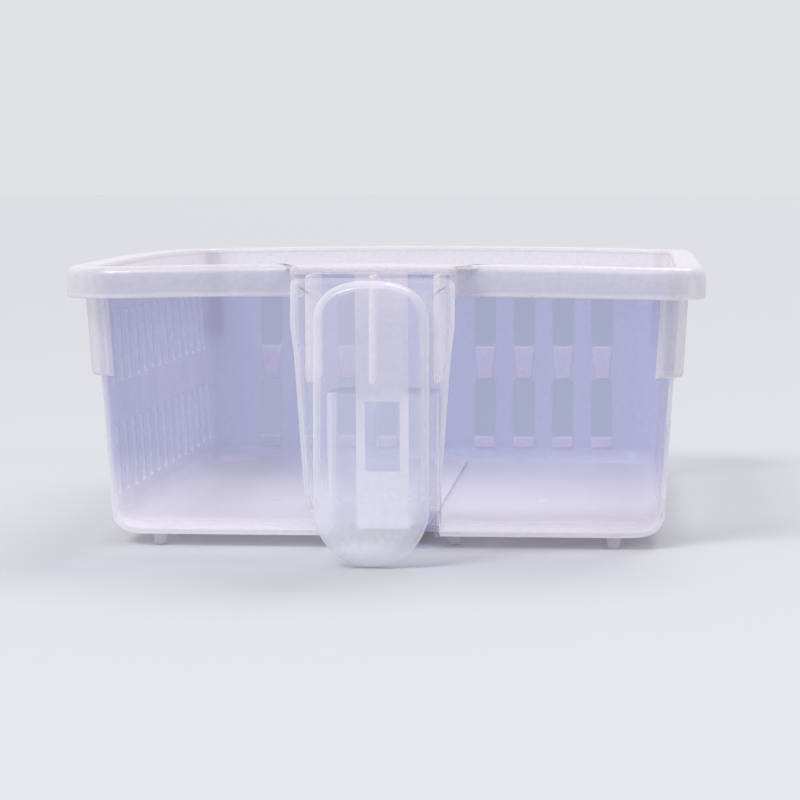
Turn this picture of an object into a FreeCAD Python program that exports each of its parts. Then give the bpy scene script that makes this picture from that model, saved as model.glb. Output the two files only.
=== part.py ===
import FreeCAD, Part
import math
import os

# Translucent storage caddy with a long finger handle on its front.
# Millimetres. Z=0 is the plane that the feet stand on, X runs left to right and
# Y from front to back. The origin is under the middle of the whole outline, handle
# included.

Vec = FreeCAD.Vector
os.makedirs("parts", exist_ok=True)

# Overall sizes
rimWidth = 250.0          # across the outside of the rim
rimDepth = 340.0          # front to back over the rim, without the handle
rimTop = 111.0            # top of the rim above the feet
footHeight = 4.5          # underside of the tub above the feet

# Tub
wall = 1.8                # side walls, recess and rim
floorThickness = 2.0
rimOverhang = 9.6         # rim's edge out past the tub wall, left and right
rimOverhangEnds = 10.0    # the same at the front and the back
sideDraft = 5.9           # how far each side wall leans in over the tub's height
frontDraft = 9.0
backDraft = 6.0
rimCornerRadius = 22.0
tubCornerRadius = 16.0
bottomEdgeRadius = 8.0
panHeight = 9.0           # height of the floor pan's turned-up edge
cornerZone = 26.0         # length of front or back wall that belongs to the side walls

# Rim
skirtHeight = 12.2        # from the rim's top to the free lower edge
rimEdgeRadius = 3.5       # rounding of the rim's outer top edge

# Slots in the side and back walls
slotWidth = 10.5
slotPitch = 19.2
upperSlotHeight = 28.7
lowerSlotHeight = 28.3
crossbarHeight = 16.4     # solid band between the two rows
slotSillHeight = 18.6     # bottom of the lower row above the feet
sideSlotCount = 14
backSlotsPerSide = 4
backCentreGap = 38.3      # solid band in the middle of the back wall
slotCornerRadius = 1.5
slotCutterLength = 60.0   # reaches through one wall and no other

# Finger recess in the front wall, behind the handle
recessWidth = 40.0
recessDepth = 23.0        # in from the front wall's outer face at the floor
recessTop = 60.2
recessRadius = 9.0        # rounding of the recess's back corners

# Spine: a flat strap down the front wall and across the mouth of the recess
spineWidth = 20.5
spineThickness = 2.0
spineBottom = 8.5
windowWidth = 13.6
windowBottom = 31.0
windowTop = 58.7

# Handle
noseReach = 33.0          # apron's front face ahead of the rim
noseHalfWidth = 30.8      # at the skirt's lower edge
noseHalfWidthLow = 25.2   # at the apron's lower edge
noseFlare = 12.0          # concave corner where the nose leaves the rim
noseEdgeRadius = 3.0
smallestRadius = 0.8      # inside corners are never sharper
apronBottom = 21.0
gripHalfWidth = 21.6
gripTop = 107.2
gripArchRadius = 15.0     # rounding of the two upper corners
gripBottom = 0.4
gripProud = 9.0           # grip's face ahead of the apron
gripEdgeRadius = 4.0
gripWall = 2.0

# Ribs under the nose
ribThickness = 2.0
ribOffset = 24.0          # outer ribs' middle from the centre
ribBottom = 68.6
ribCornerRadius = 6.0
centreRibReach = 19.0     # centre rib's length behind the apron

# Corner pads that carry a caddy stacked inside another
padThickness = 3.6
padBottom = 68.0
padLength = 22.0          # along the side wall from the corner
padFrontReach = 6.5       # along the front or back wall

# Feet and floor marks
footTopRadius = 2.8
footTipRadius = 2.2
footTipRounding = 0.6
footInset = 30.0          # outer feet, from the rim's front or back edge
footSideInset = 35.0      # outer feet, in from the rim's left or right edge
middleFootInset = 37.5    # middle foot of a row, from the rim's front or back edge
middleFootOffset = 27.0   # middle foot, to the right of the centre
bossRadius = 3.0
bossHeight = 0.5
bossOffset = 58.6
bossSetback = 140.0       # from the rim's front edge
landWidth = 32.5          # raised lengthwise land in the middle of the floor
landHeight = 1.0

# Worked-out places
halfWidth = rimWidth / 2
overallDepth = rimDepth + noseReach + gripProud
backY = overallDepth / 2
frontY = backY - rimDepth
middleY = (frontY + backY) / 2
flangeUnder = rimTop - wall
skirtBottom = rimTop - skirtHeight
tubHalfWidth = halfWidth - rimOverhang
tubFront = frontY + rimOverhangEnds
tubBack = backY - rimOverhangEnds
apronFace = frontY - noseReach
noseRoot = frontY + rimEdgeRadius
apronBack = apronFace + wall
gripFace = apronFace - gripProud
panTop = footHeight + panHeight
recessBackY = tubFront + frontDraft + recessDepth
lowerSlotTop = slotSillHeight + lowerSlotHeight
upperSlotBottom = lowerSlotTop + crossbarHeight
wallSplitX = tubHalfWidth - cornerZone
footOuterOffset = halfWidth - footSideInset


def box(x0, x1, y0, y1, z0, z1):
    return Part.makeBox(x1 - x0, y1 - y0, z1 - z0, Vec(x0, y0, z0))


def roundedRectangle(halfX, y0, y1, radius, z):
    """Closed wire, counter-clockwise from the lower right corner's end."""
    corners = [(halfX - radius, y0 + radius, -90), (halfX - radius, y1 - radius, 0),
               (radius - halfX, y1 - radius, 90), (radius - halfX, y0 + radius, 180)]
    edges = []
    last = None
    for cx, cy, start in corners:
        points = []
        for step in (0, 45, 90):
            angle = math.radians(start + step)
            points.append(Vec(cx + radius * math.cos(angle), cy + radius * math.sin(angle), z))
        if last is not None:
            edges.append(Part.LineSegment(last, points[0]).toShape())
        edges.append(Part.Arc(*points).toShape())
        last = points[2]
    edges.append(Part.LineSegment(last, edges[0].Vertexes[0].Point).toShape())
    return Part.Wire(edges)


def tubSolid(offset, zBottom, zTop):
    """Drafted tub volume, grown outwards by offset and cut at two heights."""
    height = flangeUnder - footHeight

    def section(z):
        lean = (flangeUnder - z) / height
        return roundedRectangle(tubHalfWidth - sideDraft * lean + offset,
                                tubFront + frontDraft * lean - offset,
                                tubBack - backDraft * lean + offset,
                                tubCornerRadius + offset, z)
    return Part.makeLoft([section(zBottom), section(zTop)], True, True)


def lowestEdges(shape, z):
    return [e for e in shape.Edges if all(abs(v.Z - z) < 0.01 for v in e.Vertexes)]


def tubShell():
    outer = tubSolid(0, footHeight, flangeUnder)
    outer = outer.makeFillet(bottomEdgeRadius, lowestEdges(outer, footHeight))
    floorTop = footHeight + floorThickness
    inner = tubSolid(-wall, floorTop, flangeUnder)
    inner = inner.makeFillet(bottomEdgeRadius - wall, lowestEdges(inner, floorTop))
    return outer.cut(recessVolume(0)).cut(inner.cut(recessVolume(wall)))


def recessVolume(grow):
    """Space of the finger recess, grown by the wall's thickness for its outside."""
    half = recessWidth / 2 + grow
    volume = box(-half, half, tubFront - 1, recessBackY + grow, footHeight - 1, recessTop + grow)
    back = [e for e in volume.Edges if all(abs(v.Y - recessBackY - grow) < 0.01 for v in e.Vertexes)
            and abs(e.Vertexes[0].Z - e.Vertexes[1].Z) > 1]
    return volume.makeFillet(recessRadius + grow, back)


def recessZone():
    """Part of the tub that belongs to the finger recess."""
    half = recessWidth / 2 + wall
    return box(-half, half, frontY, recessBackY + wall, 0, recessTop + wall)


def slotTool(x, y, z0, z1, alongY):
    reach = slotCutterLength / 2
    if alongY:
        tool = box(x - reach, x + reach, y - slotWidth / 2, y + slotWidth / 2, z0, z1)
    else:
        tool = box(x - slotWidth / 2, x + slotWidth / 2, y - reach, y + reach, z0, z1)
    through = [e for e in tool.Edges if abs(e.Length - slotCutterLength) < 0.01]
    return tool.makeFillet(slotCornerRadius, through)


def slotRows():
    return [(slotSillHeight, lowerSlotTop), (upperSlotBottom, upperSlotBottom + upperSlotHeight)]


def sideSlots(sign):
    first = middleY - (sideSlotCount - 1) / 2 * slotPitch
    return [slotTool(sign * tubHalfWidth, first + i * slotPitch, z0, z1, True)
            for i in range(sideSlotCount) for z0, z1 in slotRows()]


def backSlots():
    first = backCentreGap / 2 + slotWidth / 2
    centres = [sign * (first + i * slotPitch) for i in range(backSlotsPerSide) for sign in (-1, 1)]
    return [slotTool(x, tubBack, z0, z1, False) for x in centres for z0, z1 in slotRows()]


def sideZone(sign):
    near, far = sorted((sign * wallSplitX, sign * rimWidth))
    return box(near, far, -overallDepth, overallDepth, panTop, rimTop)


def sideWall(shell, sign):
    return shell.common(sideZone(sign)).cut(Part.makeCompound(sideSlots(sign)))


def frontWall(shell):
    zone = box(-wallSplitX, wallSplitX, frontY, middleY, panTop, rimTop)
    return shell.common(zone).cut(recessZone())


def backWall(shell):
    zone = box(-wallSplitX, wallSplitX, middleY, backY, panTop, rimTop)
    return shell.common(zone).cut(Part.makeCompound(backSlots()))


def floorPan(shell):
    slab = box(-rimWidth, rimWidth, -overallDepth, overallDepth, 0, panTop)
    pan = shell.common(slab).cut(recessZone())
    floorTop = footHeight + floorThickness
    for sign in (-1, 1):
        place = Vec(sign * bossOffset, frontY + bossSetback, floorTop)
        pan = pan.fuse(Part.makeCylinder(bossRadius, bossHeight, place))
    return pan


def floorLand():
    """Raised strip along the floor from the recess to the back wall."""
    floorTop = footHeight + floorThickness
    strip = box(-landWidth / 2, landWidth / 2, recessBackY + wall,
                tubBack - backDraft - bottomEdgeRadius, floorTop, floorTop + landHeight)
    ends = [e for e in strip.Edges if abs(e.Length - landHeight) < 0.01]
    return strip.makeFillet(landHeight, ends)


def rimOutline(inset, z):
    return roundedRectangle(halfWidth - inset, frontY + inset, backY - inset,
                            rimCornerRadius - inset, z)


def prism(wire, height):
    return Part.Face(wire).extrude(Vec(0, 0, height))


def rimRing():
    outside = prism(rimOutline(0, skirtBottom), skirtHeight)
    outside = outside.makeFillet(rimEdgeRadius, lowestEdges(outside, rimTop))
    hollow = prism(rimOutline(wall, skirtBottom - 1), flangeUnder - skirtBottom + 1)
    hollow = hollow.makeFillet(rimEdgeRadius - wall, lowestEdges(hollow, flangeUnder))
    opening = tubSolid(-wall, flangeUnder - 1, flangeUnder)
    mouth = prism(Part.Wire(opening.Faces[-1].OuterWire.Edges), wall + 1)
    return outside.cut(hollow).cut(mouth)


def noseOutline(inset, root, z):
    """Plan outline of the nose, flared where it leaves the rim, closed at root."""
    half = noseHalfWidth - inset
    flare = noseFlare + inset
    front = apronFace + inset
    corner = max(noseEdgeRadius - inset, smallestRadius)
    bend = flare * (1 - math.sqrt(0.5))
    turn = corner * (1 - math.sqrt(0.5))
    rimLine = frontY + inset
    edges = []
    points = [Vec(half + flare, root, z), Vec(half + flare, rimLine, z)]
    edges.append(Part.LineSegment(points[0], points[1]).toShape())
    edges.append(Part.Arc(points[1], Vec(half + bend, rimLine - bend, z),
                          Vec(half, rimLine - flare, z)).toShape())
    edges.append(Part.LineSegment(Vec(half, rimLine - flare, z),
                                  Vec(half, front + corner, z)).toShape())
    edges.append(Part.Arc(Vec(half, front + corner, z), Vec(half - turn, front + turn, z),
                          Vec(half - corner, front, z)).toShape())
    mirrored = [e.mirror(Vec(0, 0, 0), Vec(1, 0, 0)) for e in edges]
    edges.append(Part.LineSegment(Vec(half - corner, front, z),
                                  Vec(corner - half, front, z)).toShape())
    edges += mirrored
    edges.append(Part.LineSegment(points[0], Vec(-points[0].x, root, z)).toShape())
    return Part.Wire(Part.__sortEdges__(edges))


def noseZone():
    """The stretch of rim that the nose takes the place of, back to the flange's root."""
    half = noseHalfWidth + noseFlare
    return box(-half, half, frontY - 1, noseRoot, skirtBottom - 1, rimTop + 1)


def gripPad(inset, yFront, yBack):
    """Capsule-shaped block standing on its end, squarer at its top."""
    half = gripHalfWidth - inset
    archRadius = gripArchRadius - inset
    flat = gripHalfWidth - gripArchRadius
    top = gripTop - gripArchRadius
    bottom = gripBottom + gripHalfWidth
    turn = archRadius * math.sqrt(0.5)
    crest = top + archRadius
    rightArch = Part.Arc(Vec(half, yBack, top), Vec(flat + turn, yBack, top + turn), Vec(flat, yBack, crest))
    leftArch = Part.Arc(Vec(-flat, yBack, crest), Vec(-flat - turn, yBack, top + turn),
                        Vec(-half, yBack, top))
    bowl = Part.Arc(Vec(-half, yBack, bottom), Vec(0, yBack, bottom - half), Vec(half, yBack, bottom))
    level = Part.LineSegment(Vec(flat, yBack, crest), Vec(-flat, yBack, crest))
    left = Part.LineSegment(Vec(-half, yBack, top), Vec(-half, yBack, bottom))
    right = Part.LineSegment(Vec(half, yBack, bottom), Vec(half, yBack, top))
    wire = Part.Wire([piece.toShape() for piece in (rightArch, level, leftArch, left, bowl, right)])
    block = Part.Face(wire).extrude(Vec(0, yFront - yBack, 0))
    front = [e for e in block.Edges if all(abs(v.Y - yFront) < 0.01 for v in e.Vertexes)]
    return block.makeFillet(max(gripEdgeRadius - inset, smallestRadius), front)


def handleBridge():
    """Top of the nose: a cap with a rounded front, open below and to the tub."""
    outside = prism(noseOutline(0, noseRoot, skirtBottom), skirtHeight)
    topEdges = [e for e in lowestEdges(outside, rimTop)
                if max(v.Y for v in e.Vertexes) < frontY + 0.01]
    outside = outside.makeFillet(rimEdgeRadius, topEdges)
    hollow = prism(noseOutline(wall, noseRoot + 1, skirtBottom - 1),
                   flangeUnder - skirtBottom + 1)
    return outside.cut(hollow).cut(gripPad(0, gripFace - 1, apronBack + 1))


def handleApron():
    """Tapering panel under the nose's front; the grip divides it into two wings."""
    corner = noseEdgeRadius
    points = [Vec(noseHalfWidth, apronFace, skirtBottom), Vec(-noseHalfWidth, apronFace, skirtBottom),
              Vec(-noseHalfWidthLow, apronFace, apronBottom),
              Vec(noseHalfWidthLow, apronFace, apronBottom)]
    outline = Part.makePolygon(points + [points[0]])
    panel = Part.Face(outline).extrude(Vec(0, wall + corner, 0))
    inner = [Vec(p.x - math.copysign(wall, p.x), apronBack, p.z) for p in points]
    inner[0].z = inner[1].z = skirtBottom + 1
    inner[2].z = inner[3].z = apronBottom - 1
    hollow = Part.Face(Part.makePolygon(inner + [inner[0]])).extrude(Vec(0, corner + 1, 0))
    edges = [e for e in panel.Edges if all(abs(v.Y - apronFace) < 0.01 for v in e.Vertexes)
             and abs(e.Vertexes[0].Z - e.Vertexes[1].Z) > 1]
    panel = panel.makeFillet(corner, edges)
    return panel.cut(hollow).cut(gripPad(0, gripFace - 1, apronBack + corner + 1))


def handleGrip():
    """Long shell that the fingers hook into, open to the tub."""
    return gripPad(0, gripFace, apronBack).cut(gripPad(gripWall, gripFace + gripWall, apronBack + 1))


def ribBlank(x, yFront, yBack):
    return box(x - ribThickness / 2, x + ribThickness / 2, yFront, yBack, ribBottom, flangeUnder)


def outerRib(sign):
    """Web from the apron back to the front wall, with a rounded lower front corner."""
    rib = ribBlank(sign * ribOffset, apronBack, frontY + rimOverhangEnds + frontDraft)
    low = [e for e in rib.Edges if all(abs(v.Z - ribBottom) < 0.01 and abs(v.Y - apronBack) < 0.01
                                       for v in e.Vertexes)]
    rib = rib.makeFillet(ribCornerRadius, low)
    return rib.cut(tubSolid(0, footHeight, flangeUnder))


def centreRib():
    rib = ribBlank(0, apronFace, apronFace + centreRibReach)
    low = [e for e in rib.Edges if all(abs(v.Z - ribBottom) < 0.01 and v.Y > apronBack
                                       for v in e.Vertexes)]
    rib = rib.makeFillet(ribCornerRadius, low)
    crest = box(-ribThickness, ribThickness, apronFace - 1, apronBack, gripTop - gripWall, rimTop)
    return rib.cut(crest)


def handleSpine():
    """Strap on the front wall's outside that crosses the recess's mouth."""
    band = tubSolid(spineThickness, footHeight, flangeUnder).cut(tubSolid(0, footHeight, flangeUnder))
    strap = band.common(box(-spineWidth / 2, spineWidth / 2, frontY, middleY,
                            spineBottom, flangeUnder))
    window = box(-windowWidth / 2, windowWidth / 2, frontY, middleY, windowBottom, windowTop)
    shelf = box(-spineWidth / 2, spineWidth / 2, tubFront, recessBackY,
                spineBottom, spineBottom + wall)
    shelf = shelf.common(tubSolid(0, footHeight, flangeUnder)).common(recessVolume(0))
    return strap.cut(window).fuse(shelf).removeSplitter()


def cornerPad(signX, signY):
    """Thick band around the outside of one corner, under the rim."""
    band = tubSolid(padThickness, padBottom, flangeUnder).cut(tubSolid(0, padBottom, flangeUnder))
    wallFace = tubFront if signY < 0 else tubBack
    xs = sorted((signX * (tubHalfWidth - padFrontReach), signX * rimWidth))
    ys = sorted((wallFace - signY * padLength, wallFace + signY * padLength))
    return band.common(box(xs[0], xs[1], ys[0], ys[1], 0, rimTop))


def foot(x, y):
    """Tapered peg with a flat, slightly rounded tip."""
    peg = Part.makeCone(footTipRadius, footTopRadius, footHeight, Vec(x, y, 0))
    return peg.makeFillet(footTipRounding, lowestEdges(peg, 0))


def rimRails(ring):
    """The rim as four rails; the corners stay with the side rails."""
    splitX = halfWidth - rimCornerRadius
    side = box(splitX, rimWidth, -overallDepth, overallDepth, 0, rimTop + 1)
    front = box(-splitX, splitX, -overallDepth, middleY, 0, rimTop + 1)
    back = box(-splitX, splitX, middleY, overallDepth, 0, rimTop + 1)
    left = side.mirror(Vec(0, 0, 0), Vec(1, 0, 0))
    return {"rim_rail_right": ring.common(side), "rim_rail_left": ring.common(left),
            "rim_rail_front": ring.common(front).cut(noseZone()),
            "rim_rail_back": ring.common(back)}


def feet():
    """Three feet in each row; the middle one stands to the right of the handle."""
    parts = {}
    for row, edgeY, inward in (("front", frontY, 1), ("rear", backY, -1)):
        parts["foot_%s_left" % row] = foot(-footOuterOffset, edgeY + inward * footInset)
        parts["foot_%s_middle" % row] = foot(middleFootOffset, edgeY + inward * middleFootInset)
        parts["foot_%s_right" % row] = foot(footOuterOffset, edgeY + inward * footInset)
    return parts


def pads():
    parts = {}
    for row, signY in (("front", -1), ("rear", 1)):
        for side, signX in (("left", -1), ("right", 1)):
            parts["stacking_pad_%s_%s" % (row, side)] = cornerPad(signX, signY)
    return parts


def build():
    shell = tubShell()
    parts = {
        "floor_pan": floorPan(shell),
        "floor_land": floorLand(),
        "front_wall": frontWall(shell),
        "finger_recess": shell.common(recessZone()),
        "side_wall_left": sideWall(shell, -1),
        "side_wall_right": sideWall(shell, 1),
        "back_wall": backWall(shell),
        "handle_bridge": handleBridge(),
        "handle_grip": handleGrip(),
        "handle_rib_left": outerRib(-1),
        "handle_rib_centre": centreRib(),
        "handle_rib_right": outerRib(1),
        "handle_spine": handleSpine(),
    }
    for wing in handleApron().Solids:
        side = "left" if wing.CenterOfMass.x < 0 else "right"
        parts["handle_wing_" + side] = wing
    parts.update(rimRails(rimRing()))
    parts.update(pads())
    parts.update(feet())
    return parts


for name, shape in build().items():
    shape.exportStep("parts/%s.step" % name)
    bounds = shape.BoundBox
    print(name, "solids", len(shape.Solids), "volume %.0f" % shape.Volume,
          "x %.1f..%.1f y %.1f..%.1f z %.1f..%.1f" % (
              bounds.XMin, bounds.XMax, bounds.YMin, bounds.YMax, bounds.ZMin, bounds.ZMax))
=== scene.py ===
import bpy
import bmesh
import math
import numpy as np
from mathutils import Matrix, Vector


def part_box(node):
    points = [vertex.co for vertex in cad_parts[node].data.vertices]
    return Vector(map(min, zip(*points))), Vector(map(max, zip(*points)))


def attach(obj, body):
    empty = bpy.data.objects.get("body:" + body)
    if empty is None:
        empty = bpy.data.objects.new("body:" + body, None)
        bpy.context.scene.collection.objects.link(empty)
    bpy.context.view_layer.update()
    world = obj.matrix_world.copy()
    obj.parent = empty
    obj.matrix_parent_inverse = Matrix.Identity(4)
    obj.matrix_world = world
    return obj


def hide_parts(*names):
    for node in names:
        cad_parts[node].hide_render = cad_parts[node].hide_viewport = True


# Translucent storage caddy with a long finger handle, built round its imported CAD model.
# Shapes are worked out in millimetres and written in metres.
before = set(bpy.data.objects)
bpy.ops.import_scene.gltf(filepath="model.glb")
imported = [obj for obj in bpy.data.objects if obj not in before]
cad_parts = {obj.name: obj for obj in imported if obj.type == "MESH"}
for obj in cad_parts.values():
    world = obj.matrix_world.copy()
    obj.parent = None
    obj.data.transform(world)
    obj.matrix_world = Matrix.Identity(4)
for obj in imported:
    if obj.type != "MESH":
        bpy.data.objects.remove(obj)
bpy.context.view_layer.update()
mm = 0.001


def span(node):
    low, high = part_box(node)
    return [v / mm for v in low], [v / mm for v in high]


def side(node, end, axis):
    return span(node)["low high".split().index(end)]["xyz".index(axis)]


# places read from the CAD nodes
rimTop = side("rim_rail_right", "high", "z")
skirtBottom = side("rim_rail_right", "low", "z")
rimHalf = side("rim_rail_right", "high", "x")
rimFront = side("rim_rail_right", "low", "y")
rimBack = side("rim_rail_right", "high", "y")
tubHalf = side("side_wall_right", "high", "x")
tubFront = side("front_wall", "low", "y")
tubBack = side("back_wall", "high", "y")
tubBottom = side("floor_pan", "low", "z")
noseFace = side("handle_bridge", "low", "y")
gripFace = side("handle_grip", "low", "y")
recessHalf = side("finger_recess", "high", "x")
recessBack = side("finger_recess", "high", "y")
middleY = (rimFront + rimBack) / 2
print("frame loaded", len(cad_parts), "nodes")


def addMesh(name, verts, faces, milkAndHighlight=None, merge=0.004):
    # verts in millimetres; the per-point amount, 0 to 1, says how far each point sits on a free edge and
    # whitens it there: partly milkier plastic, partly painted highlight standing in for edge reflections
    mesh = bpy.data.meshes.new(name)
    mesh.from_pydata([tuple(float(c) * mm for c in v) for v in verts], [], [list(f) for f in faces])
    attribute = mesh.attributes.new("milkAndHighlight", "FLOAT", "POINT")
    amounts = milkAndHighlight if milkAndHighlight is not None else [0] * len(verts)
    attribute.data.foreach_set("value", [float(t) for t in amounts])
    work = bmesh.new()
    work.from_mesh(mesh)
    bmesh.ops.remove_doubles(work, verts=work.verts, dist=merge * mm)
    work.to_mesh(mesh)
    work.free()
    mesh.shade_smooth()
    mesh.set_sharp_from_angle(angle=math.radians(44))
    piece = bpy.data.objects.new(name, mesh)
    bpy.context.collection.objects.link(piece)
    return piece


def finish(piece, material, *nodes, slot="tub"):
    # material, body, CAD nodes that the piece stands for
    piece.data.materials.clear()
    piece.data.materials.append(material)
    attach(piece, "root")
    if nodes:
        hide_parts(*nodes)
    return piece


def lockModifiers(piece):
    # turns the evaluated result into the piece's own plain mesh
    graph = bpy.context.evaluated_depsgraph_get()
    mesh = bpy.data.meshes.new_from_object(piece.evaluated_get(graph))
    piece.modifiers.clear()
    piece.data = mesh
    return piece


def arc(start, end, steps):
    return [math.radians(start + (end - start) * i / steps) for i in range(steps + 1)]


def repeatTree():
    tree = bpy.data.node_groups.new("repeatAlongRows", "GeometryNodeTree")
    tree.is_modifier = True
    face = tree.interface
    face.new_socket(name="Geometry", in_out="INPUT", socket_type="NodeSocketGeometry")
    for name, kind in (("Shape", "NodeSocketObject"), ("Count", "NodeSocketInt"),
                       ("Pitch", "NodeSocketVector"), ("Start", "NodeSocketVector"),
                       ("Rows", "NodeSocketInt"), ("Row Pitch", "NodeSocketVector"),
                       ("Material", "NodeSocketMaterial")):
        face.new_socket(name=name, in_out="INPUT", socket_type=kind)
    face.new_socket(name="Geometry", in_out="OUTPUT", socket_type="NodeSocketGeometry")
    nodes, links = tree.nodes, tree.links
    given = nodes.new("NodeGroupInput")
    result = nodes.new("NodeGroupOutput")
    rowLine = nodes.new("GeometryNodeMeshLine")
    columnLine = nodes.new("GeometryNodeMeshLine")
    spread = nodes.new("GeometryNodeInstanceOnPoints")
    shape = nodes.new("GeometryNodeObjectInfo")
    place = nodes.new("GeometryNodeInstanceOnPoints")
    realRows = nodes.new("GeometryNodeRealizeInstances")
    realize = nodes.new("GeometryNodeRealizeInstances")
    coat = nodes.new("GeometryNodeSetMaterial")
    links.new(given.outputs["Rows"], rowLine.inputs["Count"])
    links.new(given.outputs["Row Pitch"], rowLine.inputs["Offset"])
    links.new(given.outputs["Start"], rowLine.inputs["Start Location"])
    links.new(given.outputs["Count"], columnLine.inputs["Count"])
    links.new(given.outputs["Pitch"], columnLine.inputs["Offset"])
    links.new(rowLine.outputs["Mesh"], spread.inputs["Points"])
    links.new(columnLine.outputs["Mesh"], spread.inputs["Instance"])
    links.new(spread.outputs["Instances"], realRows.inputs["Geometry"])
    links.new(realRows.outputs["Geometry"], place.inputs["Points"])
    links.new(given.outputs["Shape"], shape.inputs["Object"])
    links.new(shape.outputs["Geometry"], place.inputs["Instance"])
    links.new(place.outputs["Instances"], realize.inputs["Geometry"])
    links.new(realize.outputs["Geometry"], coat.inputs["Geometry"])
    links.new(given.outputs["Material"], coat.inputs["Material"])
    links.new(coat.outputs["Geometry"], result.inputs["Geometry"])
    return tree


repeatGroup = repeatTree()


def repeated(name, shape, material, count, pitch, start, rows=1, rowPitch=(0, 0, 0)):
    # a new object with the shape repeated; the shape's own object is taken away
    host = bpy.data.objects.new(name, bpy.data.meshes.new(name))
    bpy.context.collection.objects.link(host)
    repeat = host.modifiers.new("repeat", "NODES")
    repeat.node_group = repeatGroup
    ids = {s.name: s.identifier for s in repeatGroup.interface.items_tree if s.in_out == "INPUT"}
    values = {"Shape": shape, "Count": count, "Pitch": pitch, "Start": start, "Rows": rows,
              "Row Pitch": rowPitch, "Material": material}
    for key, value in values.items():
        repeat[ids[key]] = value
    host.update_tag()
    lockModifiers(host)
    bpy.data.objects.remove(shape)
    return host


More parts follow.
